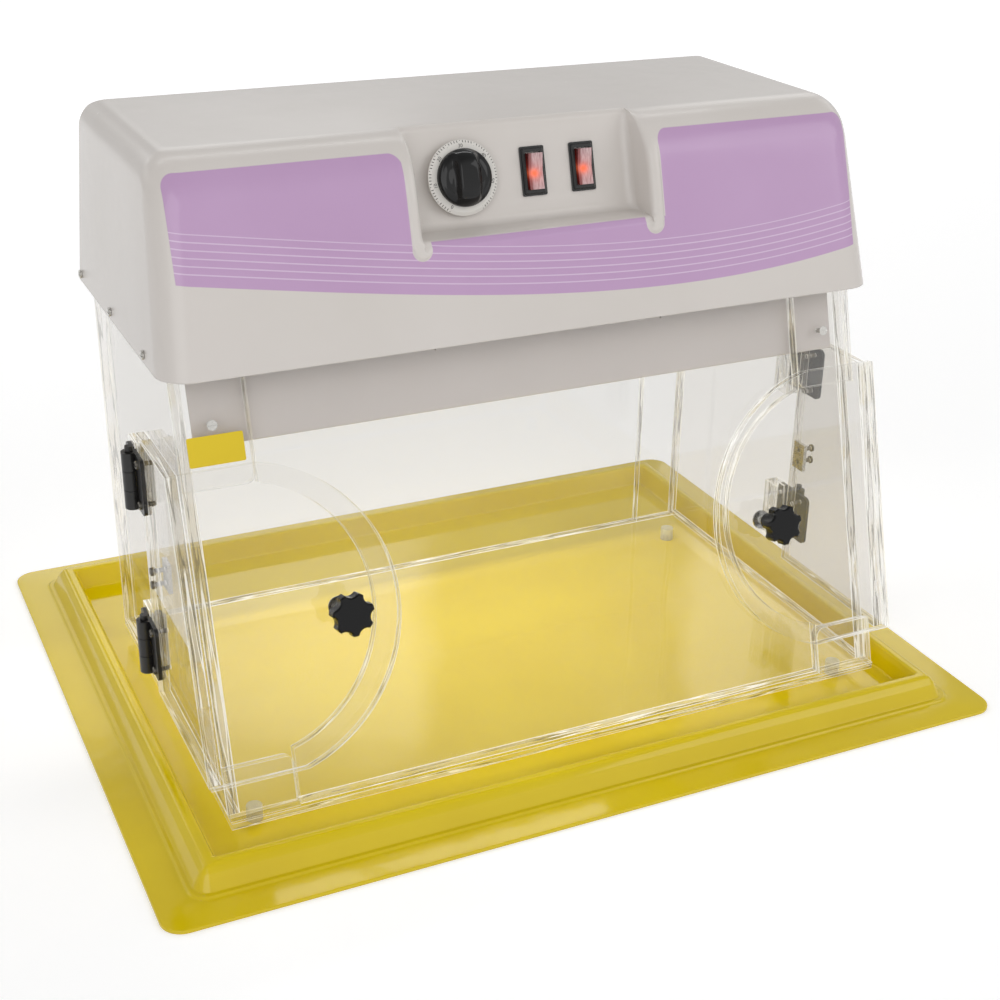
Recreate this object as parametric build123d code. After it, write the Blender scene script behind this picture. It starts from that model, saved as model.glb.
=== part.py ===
"""Bench cabinet of clear acrylic for clean pipetting work, standing in a formed spill tray.

A cream hood holds the lamps, the clockwork timer and two rocker switches. The front leans
back, and two clear doors with side legs close the round hand openings at its lower corners.
Millimetres, +Z up, +Y towards the back, origin at the centre of the tray's underside.
"""
import os
from math import atan, cos, pi, sin, sqrt

from build123d import *

os.makedirs("parts", exist_ok=True)

# Tray, its margins measured from the cabinet
tray_side_margin = 75
tray_front_margin = 84
tray_back_margin = 166
tray_sheet = 3
tray_corner_radius = 18
ridge_outer_foot = 31
ridge_outer_top = 43
ridge_inner_top = 51
ridge_inner_foot = 57
ridge_height = 22
ridge_base_radius = 14

# Cabinet box
cabinet_width = 600
cabinet_depth = 350
wall = 10
base_thickness = 6
foot_height = 12.5
foot_radius = 6.5
foot_inset = 25
wall_height = 360
lean = 0.288
back_strip_width = 44

# Front tabs, sash and hand openings, measured up the leaning front
tab_width = 56
upper_tab_start = 264
lower_tab_end = 48
tab_corner_radius = 8
sash_side_gap = 0.8
sash_base_gap = 1
sash_end = 372
opening_centre_inset = 28
opening_centre_rise = 158
opening_radius = 109.5
clip_width = 40
clip_reach = 14
clip_sheet = 2
clip_share = 0.5

# Doors
door_centre_inset = 29
door_gap = 1.5
door_plate = 10
door_radius = 125
door_low = 38
door_high = 280
leg_wall_gap = 4
leg_thickness = 10
leg_back = 158
leg_top_corner = 8
leg_short = 1
knob_inset = 106
knob_rise = 157.5
keeper_depth = 142
keeper_rise = 153
keeper_screw_spread = 6
keeper_width = 16
keeper_height = 26
keeper_thickness = 3.4

# Door hinges
hinge_axis_out = 20
hinge_axis_back = 163
hinge_heights = (82, 232)
hinge_height = 48
barrel_radius = 6.4
hinge_pin_radius = 2
pin_head_radius = 3.2
pin_head_height = 4.6
pin_gap = 0.05
knuckle_gap = 0.4
leaf_thickness = 3
leaf_start = 6.8
leaf_reach = 24
leaf_corner = 5
leaf_screw_reach = 13.5
leaf_screw_spread = 17.5
spacer_margin = 3

# Screws
screw_radius = 1.9
screw_hole_gap = 0.1
screw_head_radius = 3.5
screw_head_height = 2.2
screw_slot = 0.9
screw_end_gap = 1
leaf_screw_length = 11
chassis_screw_past = 6
countersunk_radius = 4

# Star knobs
star_radius = 16.8
scoop_radius = 6.6
scoop_circle = 20.2
scoop_count = 7
star_thickness = 12
star_edge = 1.2
neck_radius = 7
neck_length = 16
stud_radius = 3
nut_across = 10
nut_thickness = 4
washer_radius = 8
washer_thickness = 1.2

# Lamp chassis and lamps
chassis_sheet = 1.5
chassis_side_gap = 4
chassis_start = 294
chassis_ceiling = 352
chassis_lip = 12
chassis_flange = 22
chassis_screw_inset = 27.5
chassis_screw_rise = 311.5
lamp_radius = 12.8
lamp_length = 410
lamp_glass = 1
cap_length = 15
cap_sheet = 0.5
lamp_drop = 28
lamp_depths = (170, 255)
lamp_pin_radius = 1.2
lamp_pin_spread = 6.35
lamp_pin_length = 7
holder_thickness = 12
holder_width = 30
holder_below = 14
holder_gap = 0.3
ballast_size = (150, 40, 28)
ballast_shares = (-0.5, 0.2)
ballast_depth = 250

# Hood
hood_sheet = 3
hood_side_out = 10.6
hood_rim = 340
hood_top = 492.6
hood_front = 71
hood_back = 360
hood_back_top = 351
hood_side_draft = 11.7
hood_front_round = 46
hood_edge_round = 22
hood_corner_front = 25
hood_corner_back = 12
hood_corner_front_least = 6
hood_corner_back_least = 4
hood_screw_depths = (126.4, 233.6, 341)
hood_screw_rise = 6.5
hood_screw_reach = 8
bush_radius = 6
bush_gap = 0.2

# Control pocket in the hood's front
pocket_half_width = 99
pocket_ledge = 417
pocket_depth = 31.8
pocket_corner_radius = 7
rib_width = 15.5
rib_proud = 2
rib_root = 1.5
rib_sink = 0.5
rib_shift = 1.75
rib_start = 406.5
rib_end_radius = 6

# Timer dial and switches on the pocket's face
control_rise = 472
dial_x = -51.5
dial_radius = 29
dial_thickness = 2.5
dial_standoff = 6.5
dial_hub_gap = 1
timer_knob_radius = 22.3
timer_knob_height = 15
timer_knob_round = 7
shaft_radius = 3
shaft_gap = 0.1
timer_body_size = 50
timer_body_depth = 34
timer_body_corner = 4
shaft_end_gap = 1
light_switch_x = 12
power_switch_x = 55.7
bezel_width = 21.2
bezel_height = 38.7
bezel_flange = 1.5
bezel_corner = 1.5
collar_width = 18.6
collar_height = 36
collar_rise = 3.4
collar_edge = 1
rocker_width = 12.3
rocker_height = 28.3
rocker_gap = 0.6
rocker_tilt = 8
rocker_rise = 7.4
rocker_skirt = 7
rocker_lip = 1
rocker_keel = 3
rocker_keel_half = 4
pivot_radius = 1.5
pivot_reach = 0.6
switch_body_width = 15
switch_body_height = 31
switch_body_depth = 22
cut_gap = 0.2

# Label, power inlet and rim pads
label_low = 282
label_high = 304.5
label_inner = 49.7
label_outer = 6.5
label_thickness = 0.4
label_corner = 1.5
inlet_width = 48
inlet_height = 27
inlet_depth = 24
inlet_flange = 3
inlet_proud = 1.2
inlet_inset = 100
inlet_rise = 400
inlet_shoulder = 4
inlet_ear = 4
inlet_brow = 3
inlet_mouth = 12
inlet_mouth_rise = 8.5
inlet_mouth_depth = 16
blade_spots = ((-7, -1), (0, 3), (7, -1))
blade_half = 1
blade_rise = 2.5
blade_sink = 2
pad_radius = 8
pad_inset = 21
pad_drop = 4
pad_gap = 2.5

# How far a cutting shape passes what it cuts: a little past a face, or clear past the whole part
overcut = 1
beyond = 1200

# Values that follow from the ones above
half = cabinet_width / 2
tray_width = cabinet_width + 2 * tray_side_margin
tray_depth = tray_front_margin + cabinet_depth + tray_back_margin
angle = atan(lean)
slope = 1 / cos(angle)
floor_z = tray_sheet + foot_height
front_y = -tray_depth / 2 + tray_front_margin
hood_offset = (lean * hood_rim - hood_front) / slope
pocket_offset = hood_offset - pocket_depth
leg_outer = leg_wall_gap + leg_thickness
chassis_half_width = half - wall - chassis_side_gap
lamp_rise = chassis_ceiling - lamp_drop
inlet_x = half - inlet_inset
knob_x = -half + knob_inset
pivot_half = rocker_width / 2 + rocker_gap + pivot_reach


def lean_plane(offset=0.0):
    """Plane parallel to the leaning front, offset mm in front of it; local Y runs up the slope."""
    normal = Vector(0, -cos(angle), sin(angle))
    origin = Vector(0, front_y, floor_z) + normal * offset
    return Plane(origin=origin, x_dir=(1, 0, 0), z_dir=normal)


def wall_plane(out):
    """Plane facing left, out mm outside the left wall; local X runs forward, local Y runs up."""
    return Plane(origin=(-half - out, front_y, floor_z), x_dir=(0, -1, 0), z_dir=(-1, 0, 0))


def block(x0, x1, y0, y1, z0, z1):
    """Box between two corners; y counts back from the cabinet's front, z up from its underside."""
    box = Box(x1 - x0, y1 - y0, z1 - z0)
    return Pos((x0 + x1) / 2, front_y + (y0 + y1) / 2, floor_z + (z0 + z1) / 2) * box


def side_prism(points, x0, x1):
    """Polygon of (depth, height) points, counted as in block, extruded from x0 to x1."""
    corners = [(front_y + y, floor_z + z) for y, z in points]
    face = make_face(Plane.YZ * Polyline(*corners, close=True))
    return Pos(x0, 0, 0) * extrude(face, x1 - x0, dir=(1, 0, 0))


def slab(sketch, offset, thickness):
    """Plate cut to a sketch, its outer face offset mm in front of the leaning front."""
    return extrude(lean_plane(offset) * sketch, -thickness)


def rod(plane, x, y, radius, start, end):
    """Round bar along a plane's normal, between two heights above the plane."""
    return extrude(plane.offset(start) * (Pos(x, y) * Circle(radius)), end - start)


def rect(x0, x1, y0, y1):
    """Rectangle between two corners."""
    return Pos((x0 + x1) / 2, (y0 + y1) / 2) * Rectangle(x1 - x0, y1 - y0)


def front_depth(height, offset=0.0):
    """Depth, at a height, of the plane offset mm in front of the leaning front."""
    return lean * height - offset * slope


def flip(shape):
    """Mirror image on the cabinet's other side."""
    return mirror(shape, about=Plane.YZ)


def group(shapes):
    """Separate solids in one node."""
    return Compound(children=[solid for shape in shapes for solid in shape.solids()])


def save(shape, name):
    """Write one node."""
    export_step(shape, f"parts/{name}.step")


def save_pair(shape, name):
    """Write a left-hand node and its right-hand mirror image."""
    save(shape, f"left_{name}")
    save(flip(shape), f"right_{name}")


def pan_screw(plane, x, y, length):
    """Slotted pan-head screw whose head sits on a plane, its shank going into it."""
    head = rod(plane, x, y, screw_head_radius, 0, screw_head_height)
    crown = head.faces().sort_by(Axis(plane.origin, plane.z_dir))[-1]
    head = chamfer(crown.edges(), screw_head_height / 3)
    shank = rod(plane, x, y, screw_radius, -length, 0)
    groove = Pos(x, y) * Rectangle(3 * screw_head_radius, screw_slot)
    return head + shank - extrude(plane.offset(screw_head_height - screw_slot) * groove, screw_slot)


def screw_hole(plane, x, y, length):
    """Clearance hole for a screw's shank."""
    return rod(plane, x, y, screw_radius + screw_hole_gap, -length, 0)


def tray_outline(inset, z):
    """Rounded rectangle inset from the tray's edge; its corner radius shrinks with the inset."""
    radius = ridge_base_radius + ridge_outer_foot - inset
    shape = RectangleRounded(tray_width - 2 * inset, tray_depth - 2 * inset, max(radius, tray_sheet))
    return Plane.XY.offset(z) * shape


def frustum(inset_0, z0, inset_1, z1):
    """Solid between two outlines of the tray."""
    return loft([tray_outline(inset_0, z0), tray_outline(inset_1, z1)], ruled=True)


def make_tray():
    """Sheet formed into a flat rim, a hollow ridge all round and a flat floor."""
    rim = RectangleRounded(tray_width, tray_depth, tray_corner_radius)
    plate = extrude(rim, tray_sheet)
    ridge = frustum(ridge_outer_foot, tray_sheet, ridge_outer_top, ridge_height)
    basin = frustum(ridge_inner_foot, tray_sheet, ridge_inner_top, ridge_height)
    outer_under = frustum(ridge_outer_foot, 0, ridge_outer_top, ridge_height - tray_sheet)
    inner_under = frustum(ridge_inner_foot, 0, ridge_inner_top, ridge_height - tray_sheet)
    return plate + (ridge - basin) - (outer_under - inner_under)


def make_feet():
    """Four rubber feet under the base plate."""
    back = cabinet_depth - foot_inset
    spots = [(x, y) for x in (foot_inset - half, half - foot_inset) for y in (foot_inset, back)]
    top = Plane.XY.offset(tray_sheet)
    return group([rod(top, x, front_y + y, foot_radius, 0, foot_height) for x, y in spots])


def make_side_wall():
    """Left side wall; its front edge leans behind the tabs and its top goes up into the hood."""
    points = [
        (front_depth(base_thickness, -wall), base_thickness),
        (front_depth(wall_height, -wall), wall_height),
        (cabinet_depth, wall_height),
        (cabinet_depth, base_thickness),
    ]
    piece = side_prism(points, -half, -half + wall)
    face = wall_plane(0)
    for depth in hood_screw_depths:
        piece -= screw_hole(face, -depth, hood_rim + hood_screw_rise, hood_screw_reach)
    return piece


def above_base(gap=0.0):
    """Space above the base plate, for cutting the front pieces' feet level."""
    return block(-beyond, beyond, -beyond, beyond, base_thickness + gap, beyond)


def make_upper_tab():
    """Fixed front piece at the upper left, going up into the hood."""
    sketch = rect(-half, -half + tab_width, upper_tab_start, sash_end)
    corner = sketch.vertices().sort_by(Axis.Y)[:2].sort_by(Axis.X)[-1]
    piece = slab(fillet(corner, tab_corner_radius), 0, wall)
    x = -half + chassis_screw_inset
    radius = screw_radius + screw_hole_gap
    piece -= rod(lean_plane(-wall), x, chassis_screw_rise, radius, -overcut, wall + overcut)
    return piece - countersink(x)


def countersink(x):
    """Cone of a countersunk head, its flat top level with the tab's outer face."""
    depth = countersunk_radius - screw_radius
    cone = Cone(screw_radius, countersunk_radius, depth)
    return lean_plane(-depth / 2) * (Pos(x, chassis_screw_rise) * cone)


def make_chassis_screw():
    """Countersunk screw through the upper left tab into the lamp chassis."""
    x = -half + chassis_screw_inset
    plane = lean_plane(0)
    depth = countersunk_radius - screw_radius
    shank = rod(plane, x, chassis_screw_rise, screw_radius, -wall - chassis_screw_past, -depth)
    groove = Pos(x, chassis_screw_rise) * Rectangle(3 * countersunk_radius, screw_slot)
    return countersink(x) + shank - extrude(plane.offset(-screw_slot) * groove, screw_slot)


def make_lower_tab():
    """Fixed front piece at the lower left, standing on the base plate."""
    sketch = rect(-half, -half + tab_width, 0, lower_tab_end)
    corner = sketch.vertices().sort_by(Axis.Y)[-2:].sort_by(Axis.X)[-1]
    return slab(fillet(corner, tab_corner_radius), 0, wall) & above_base()


def make_sash():
    """Front window between the tabs, with a round bite for the hand opening on each side."""
    side = half - tab_width - sash_side_gap
    sketch = rect(-side, side, 0, sash_end)
    for direction in (-1, 1):
        x = direction * (half - opening_centre_inset)
        sketch -= Pos(x, opening_centre_rise) * Circle(opening_radius)
    return slab(sketch, 0, wall) & above_base(sash_base_gap)


def make_door_plate():
    """Left door's front plate: a disc cut straight at the top, the bottom and the outer side."""
    x = -half + door_centre_inset
    disc = Pos(x, opening_centre_rise) * Circle(door_radius)
    strip = rect(-half - leg_outer, x + door_radius, door_low, door_high)
    body = rect(-half - leg_outer, x, door_low, door_high)
    plate = slab((disc & strip) + body, door_gap + door_plate, door_plate)
    return plate - rod(lean_plane(0), knob_x, knob_rise, stud_radius + shaft_gap, 0, 2 * door_plate)


def make_door_leg():
    """Left door's side leg, glued behind the plate and running back to the hinges."""
    low = (door_low + leg_short) / slope
    high = (door_high - leg_short) / slope
    points = [
        (front_depth(low, door_gap), low),
        (front_depth(high, door_gap), high),
        (leg_back, high),
        (leg_back, low),
    ]
    piece = side_prism(points, -half - leg_outer, -half - leg_wall_gap)
    corner = piece.edges().filter_by(Axis.X).sort_by(Axis.Y)[-2:].sort_by(Axis.Z)[-1]
    piece = fillet(corner, leg_top_corner)
    face = wall_plane(leg_outer)
    for depth, rise in leg_screw_spots():
        piece -= screw_hole(face, -depth, rise, leg_thickness)
    return piece


def leg_screw_spots():
    """Depth and height of every screw in the leg."""
    hinge = [(hinge_axis_back - leaf_screw_reach, z + d) for z in hinge_heights for d in leaf_spread()]
    keeper = [(keeper_depth, keeper_rise + d) for d in (-keeper_screw_spread, keeper_screw_spread)]
    return hinge + keeper


def leaf_spread():
    """The two screws of a leaf, above and below its middle."""
    return (-leaf_screw_spread, leaf_screw_spread)


def make_keeper():
    """Catch plate on the leg's inner face, held by two screws through the leg."""
    y0 = keeper_depth - keeper_width / 2
    z0 = keeper_rise - keeper_height / 2
    x0 = -half - leg_wall_gap
    piece = block(x0, x0 + keeper_thickness, y0, y0 + keeper_width, z0, z0 + keeper_height)
    for side in (-keeper_screw_spread, keeper_screw_spread):
        piece -= screw_hole(wall_plane(leg_wall_gap), -keeper_depth, keeper_rise + side, keeper_thickness)
    return piece


def barrel(low, high):
    """Stretch of hinge barrel round the left doors' axis, bored for the pin."""
    place = Plane(origin=(-half - hinge_axis_out, front_y + hinge_axis_back, floor_z))
    return rod(place, 0, 0, barrel_radius, low, high)


def pin_bore(low, high):
    """Hole for the hinge pin."""
    place = Plane(origin=(-half - hinge_axis_out, front_y + hinge_axis_back, floor_z))
    return rod(place, 0, 0, hinge_pin_radius + pin_gap, low, high)


def leaf(z, direction, spans):
    """Hinge leaf on one side of the axis, with webs to its own stretches of barrel.

    direction is -1 towards the front and 1 towards the back.
    """
    low = z - hinge_height / 2
    high = z + hinge_height / 2
    face_x = -half - leg_outer
    ends = sorted((hinge_axis_back + direction * leaf_start, hinge_axis_back + direction * leaf_reach))
    piece = block(face_x - leaf_thickness, face_x, *ends, low, high)
    corners = piece.edges().filter_by(Axis.X)
    far = corners.sort_by(Axis.Y)[:2] if direction < 0 else corners.sort_by(Axis.Y)[-2:]
    piece = fillet(far, leaf_corner)
    for start, end in spans:
        inner = sorted((hinge_axis_back, hinge_axis_back + direction * (leaf_start + leaf_thickness)))
        web = block(face_x - leaf_thickness, face_x, *inner, start, end)
        piece += barrel(start, end) + web
    piece -= pin_bore(low - overcut, high + overcut)
    for side in leaf_spread():
        depth = hinge_axis_back + direction * leaf_screw_reach
        piece -= screw_hole(wall_plane(leg_outer + leaf_thickness), -depth, z + side, leaf_thickness)
    return piece


def knuckles(z):
    """Barrel stretches of the fixed leaf (the middle) and of the moving leaf (the two ends)."""
    third = hinge_height / 3
    low = z - hinge_height / 2
    ends = [(low, low + third - knuckle_gap), (low + 2 * third + knuckle_gap, low + hinge_height)]
    return [(low + third, low + 2 * third)], ends


def make_hinge_pin(z):
    """Pin of one hinge, with a flat head at its top."""
    place = Plane(origin=(-half - hinge_axis_out, front_y + hinge_axis_back, floor_z))
    top = z + hinge_height / 2
    shank = rod(place, 0, 0, hinge_pin_radius, z - hinge_height / 2, top + knuckle_gap)
    return shank + rod(place, 0, 0, pin_head_radius, top + knuckle_gap, top + pin_head_height)


def make_spacer(z):
    """Clear block that carries a hinge's fixed leaf at the leg's distance from the wall."""
    tall = hinge_height / 2 + spacer_margin
    y0 = hinge_axis_back + leaf_start
    y1 = hinge_axis_back + leaf_reach + spacer_margin
    piece = block(-half - leg_outer, -half, y0, y1, z - tall, z + tall)
    for side in leaf_spread():
        depth = hinge_axis_back + leaf_screw_reach
        length = leaf_screw_length - leaf_thickness + screw_end_gap
        piece -= screw_hole(wall_plane(leg_outer), -depth, z + side, length)
    return piece


def leaf_screws(direction):
    """Four screws through the leaves on one side of the left hinges' axis."""
    depth = hinge_axis_back + direction * leaf_screw_reach
    face = wall_plane(leg_outer + leaf_thickness)
    return [pan_screw(face, -depth, z + d, leaf_screw_length) for z in hinge_heights for d in leaf_spread()]


def keeper_screws():
    """Two screws through the leg into the catch plate."""
    length = leg_thickness + keeper_thickness - screw_end_gap
    face = wall_plane(leg_outer)
    spread = (-keeper_screw_spread, keeper_screw_spread)
    return [pan_screw(face, -keeper_depth, keeper_rise + d, length) for d in spread]


def make_star_knob():
    """Seven-pointed grip with scooped sides on a neck, in front of the left door's plate."""
    plane = lean_plane(door_gap + door_plate)
    sketch = Circle(star_radius)
    for index in range(scoop_count):
        turn = pi / 2 + 2 * pi * index / scoop_count
        sketch -= Pos(scoop_circle * cos(turn), scoop_circle * sin(turn)) * Circle(scoop_radius)
    sketch = Pos(knob_x, knob_rise) * sketch
    grip = extrude(plane.offset(neck_length) * sketch, star_thickness)
    along = Axis(plane.origin, plane.z_dir)
    ends = grip.faces().sort_by(along)
    grip = chamfer(ends[0].edges() + ends[-1].edges(), star_edge)
    neck = rod(plane, knob_x, knob_rise, neck_radius, 0, neck_length)
    bore = rod(plane, knob_x, knob_rise, stud_radius + shaft_gap, 0, neck_length + star_thickness / 2)
    return grip + neck - bore


def make_knob_fixings():
    """Stud of the star knob, and the washer and nut that hold it behind the plate."""
    plane = lean_plane(door_gap)
    back = washer_thickness + nut_thickness + screw_end_gap
    front = door_plate + neck_length + star_thickness / 2
    stud = rod(plane, knob_x, knob_rise, stud_radius, -back, front)
    bore = rod(plane, knob_x, knob_rise, stud_radius + shaft_gap, -back, 0)
    washer = rod(plane, knob_x, knob_rise, washer_radius, -washer_thickness, 0) - bore
    hexagon = Pos(knob_x, knob_rise) * RegularPolygon(nut_across / sqrt(3), 6)
    nut = extrude(plane.offset(-washer_thickness) * hexagon, -nut_thickness) - bore
    return group([stud, washer, nut])


def make_chassis():
    """Bent metal sheet: front plate behind the tabs, ceiling over the lamps and a rear flange."""
    w = chassis_half_width
    top_slope = (chassis_ceiling + wall * sin(angle)) * slope
    front = slab(rect(-w, w, chassis_start, top_slope), -wall, chassis_sheet)
    front = front & block(-w, w, 0, cabinet_depth, 0, chassis_ceiling)
    front_top = front_depth(chassis_ceiling, -wall)
    back = cabinet_depth - wall
    ceiling = block(-w, w, front_top, back, chassis_ceiling - chassis_sheet, chassis_ceiling)
    flange = block(-w, w, back - chassis_sheet, back, chassis_ceiling - chassis_flange, chassis_ceiling)
    low = chassis_start / slope - wall * sin(angle)
    low_depth = front_depth(low, -wall)
    lip = block(-w, w, low_depth + chassis_sheet, low_depth + chassis_lip, low, low + chassis_sheet)
    piece = front + ceiling + flange + lip
    radius = screw_radius + screw_hole_gap
    for x in (-half + chassis_screw_inset, half - chassis_screw_inset):
        piece -= rod(lean_plane(-wall), x, chassis_screw_rise, radius, -2 * chassis_sheet, chassis_sheet)
    return piece


def lamp_plane(depth):
    """Plane across a lamp's middle, facing right."""
    return Plane(origin=(0, front_y + depth, floor_z + lamp_rise), x_dir=(0, 1, 0), z_dir=(1, 0, 0))


def make_lamp(depth):
    """Glass tube of one lamp."""
    plane = lamp_plane(depth)
    reach = lamp_length / 2
    tube = rod(plane, 0, 0, lamp_radius, -reach, reach)
    return tube - rod(plane, 0, 0, lamp_radius - lamp_glass, -reach, reach)


def make_caps(depth):
    """Metal cap with two contact pins on each end of one lamp."""
    plane = lamp_plane(depth)
    inner = lamp_radius + pin_gap
    face = lamp_length / 2 + cap_sheet
    caps = []
    for side in (-1, 1):
        open_end = side * (face - cap_length)
        pin_root = side * (face - cap_sheet / 2)
        pin_tip = side * (face + lamp_pin_length)
        cap = rod(plane, 0, 0, inner + cap_sheet, open_end, side * face)
        cap -= rod(plane, 0, 0, inner, open_end, side * (lamp_length / 2 + pin_gap))
        for spread in (-lamp_pin_spread, lamp_pin_spread):
            cap += rod(plane, 0, spread, lamp_pin_radius, pin_root, pin_tip)
        caps.append(cap)
    return caps


def make_holders(depth):
    """Lamp holder under the ceiling at each end of one lamp."""
    plane = lamp_plane(depth)
    face = lamp_length / 2 + cap_sheet + holder_gap
    w = holder_width / 2
    holders = []
    for side in (-1, 1):
        x0, x1 = sorted((side * face, side * (face + holder_thickness)))
        low = lamp_rise - holder_below
        holder = block(x0, x1, depth - w, depth + w, low, chassis_ceiling - chassis_sheet)
        for spread in (-lamp_pin_spread, lamp_pin_spread):
            hole = lamp_pin_radius + holder_gap
            holder -= rod(plane, 0, spread, hole, side * face, side * (face + lamp_pin_length + holder_gap))
        holders.append(holder)
    return holders


def hood_section(height, shrink):
    """Level outline of the hood at a height, shrink mm inside its outer skin."""
    top = hood_top - shrink
    front_round = hood_front_round - shrink
    edge_round = hood_edge_round - shrink
    front = hood_front + lean * (height - hood_rim) + shrink * slope
    start = arc_start(top, front_round)
    if height > start:
        front = arc_depth(height, top, front_round, shrink)
    rise = (height - hood_rim) / (hood_top - hood_rim)
    bend = edge_bend(height, top, edge_round)
    side = half + hood_side_out - hood_side_draft * rise - shrink - bend
    back = hood_back - (hood_back - hood_back_top) * rise - shrink - bend
    front_radius = max(hood_corner_front - shrink - bend, hood_corner_front_least)
    back_radius = max(hood_corner_back - shrink - bend, hood_corner_back_least)
    return rounded_outline(side, front, back, front_radius, back_radius, height)


def arc_start(top, radius):
    """Height where the hood's leaning front turns into the rounding at its top."""
    return top - radius + radius * sin(angle)


def arc_depth(height, top, radius, shrink):
    """Depth of the rounding between the hood's front and top."""
    start = arc_start(top, radius)
    depth = hood_front + lean * (start - hood_rim) + shrink * slope
    centre = depth + radius * cos(angle)
    return centre - sqrt(max(radius**2 - (height - top + radius) ** 2, 0))


def edge_bend(height, top, radius):
    """How far the rounding of the side and back edges has drawn in at a height."""
    above = height - (top - radius)
    return radius - sqrt(max(radius**2 - above**2, 0)) if above > 0 else 0


def rounded_outline(side, front, back, front_radius, back_radius, height):
    """Level face with straight sides and four rounded corners."""
    y0 = front_y + front
    y1 = front_y + back
    z = floor_z + height
    a = front_radius
    b = back_radius
    lines = [
        Line((-side + a, y0, z), (side - a, y0, z)),
        corner((side - a, y0 + a, z), a, -90),
        Line((side, y0 + a, z), (side, y1 - b, z)),
        corner((side - b, y1 - b, z), b, 0),
        Line((side - b, y1, z), (-side + b, y1, z)),
        corner((-side + b, y1 - b, z), b, 90),
        Line((-side, y1 - b, z), (-side, y0 + a, z)),
        corner((-side + a, y0 + a, z), a, 180),
    ]
    return make_face(lines)


def corner(centre, radius, start):
    """Quarter circle about a centre, from a start angle in degrees."""
    return Plane(origin=centre) * CenterArc((0, 0), radius, start, 90)


def hood_body(shrink):
    """Closed solid of the hood, shrink mm inside its outer skin."""
    top = hood_top - shrink
    steps = 9
    start = arc_start(top, hood_front_round - shrink)
    turn = pi / 2 - angle
    heights = [hood_rim, start]
    for index in range(1, steps + 1):
        step = angle + turn * index / steps
        heights.append(top - (hood_front_round - shrink) * (1 - sin(step)))
    sections = [hood_section(height, shrink) for height in heights]
    return loft(sections[:2], ruled=True) + loft(sections[1:], ruled=True)


def pocket_space(grow):
    """Space of the control pocket, grown by the wall behind it."""
    x = pocket_half_width + grow
    low = pocket_ledge - grow
    offset = pocket_offset - grow
    high = hood_top + hood_front_round
    points = [(front_depth(low, offset), low), (front_depth(high, offset), high), (0, high), (0, low)]
    space = side_prism(points, -x, x)
    edges = space.edges().filter_by(lambda edge: abs((edge % 0.5).dot(lean_plane().y_dir)) > 0.999)
    return fillet(edges, pocket_corner_radius)


def make_rib():
    """Raised bead beside the pocket, from below its ledge over the rounding to the top."""
    start = arc_start(hood_top, hood_front_round)
    centre = hood_front + lean * (start - hood_rim) + hood_front_round * cos(angle)
    mid = hood_top - hood_front_round
    steps = 10
    outer = [(front_depth(rib_start, hood_offset + rib_proud), rib_start)]
    inner = [(front_depth(rib_start, hood_offset - rib_root), rib_start)]
    for index in range(steps + 1):
        share = index / steps
        turn = angle + (pi / 2 - angle) * share
        proud = rib_proud * (1 - share**2) - rib_sink * share**2
        for line, radius in ((outer, hood_front_round + proud), (inner, hood_front_round - rib_root)):
            line.append((centre - radius * cos(turn), mid + radius * sin(turn)))
    x = -pocket_half_width - rib_shift
    bead = side_prism(outer + inner[::-1], x - rib_width / 2, x + rib_width / 2)
    low = rib_start * slope
    mask = rect(x - rib_width / 2, x + rib_width / 2, low, low + hood_top)
    mask = fillet(mask.vertices().sort_by(Axis.Y)[:2], rib_end_radius)
    return bead & extrude(lean_plane(-hood_front) * mask, 2 * hood_front)


def make_hood():
    """Formed shell with the control pocket let into the edge between its front and top."""
    outer = hood_body(0)
    inner = hood_body(hood_sheet)
    rib = make_rib()
    space = pocket_space(0)
    shell = outer - inner + (pocket_space(hood_sheet) & outer) + rib + flip(rib) - space
    plane = lean_plane(pocket_offset)
    shell -= rod(plane, dial_x, control_rise, 4 / 3 * shaft_radius, -hood_sheet - overcut, overcut)
    for x in (light_switch_x, power_switch_x):
        hole = Pos(x, control_rise) * Rectangle(switch_body_width + cut_gap, switch_body_height + cut_gap)
        shell -= extrude(plane.offset(overcut) * hole, -hood_sheet - 2 * overcut)
    face = wall_plane(2 * hood_side_out)
    for depth in hood_screw_depths:
        hole = screw_hole(face, -depth, hood_rim + hood_screw_rise, 3 * hood_side_out)
        shell -= hole + flip(hole)
    gap = cut_gap / 2
    tall = inlet_height / 2 + gap
    wide = inlet_width / 2 - inlet_shoulder + gap
    deep = hood_back - inlet_depth
    return shell - block(inlet_x - wide, inlet_x + wide, deep, beyond, inlet_rise - tall, inlet_rise + tall)


def hood_side(height):
    """How far the hood's side stands outside the wall at a height."""
    return hood_side_out - hood_side_draft * (height - hood_rim) / (hood_top - hood_rim)


def make_hood_screws():
    """Three screws on the left that hold the hood to the wall, each head seated on the skirt."""
    height = hood_rim + hood_screw_rise
    out = hood_side(height - screw_head_radius)
    length = out + hood_screw_reach - screw_end_gap
    return [pan_screw(wall_plane(out), -y, height, length) for y in hood_screw_depths]


def make_bushes():
    """Three bushes on the left that fill the space between wall and skirt round the screws."""
    height = hood_rim + hood_screw_rise
    out = hood_side(height + bush_radius) - hood_sheet - bush_gap
    face = wall_plane(0)
    bushes = []
    for depth in hood_screw_depths:
        bush = rod(face, -depth, height, bush_radius, 0, out)
        bushes.append(bush - rod(face, -depth, height, screw_radius + screw_hole_gap, 0, out))
    return bushes


def make_rim_pad():
    """Cream pad between the left tab and the hood's front skirt, showing just under the rim."""
    x = -half + pad_inset
    reach = hood_offset - hood_sheet - pad_gap
    low = (hood_rim - pad_drop + pad_radius) * slope
    face = lean_plane(0)
    pad = Pos(x, low) * Circle(pad_radius) + rect(x - pad_radius, x + pad_radius, low, low + pad_radius)
    return extrude(face * pad, reach)


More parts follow.
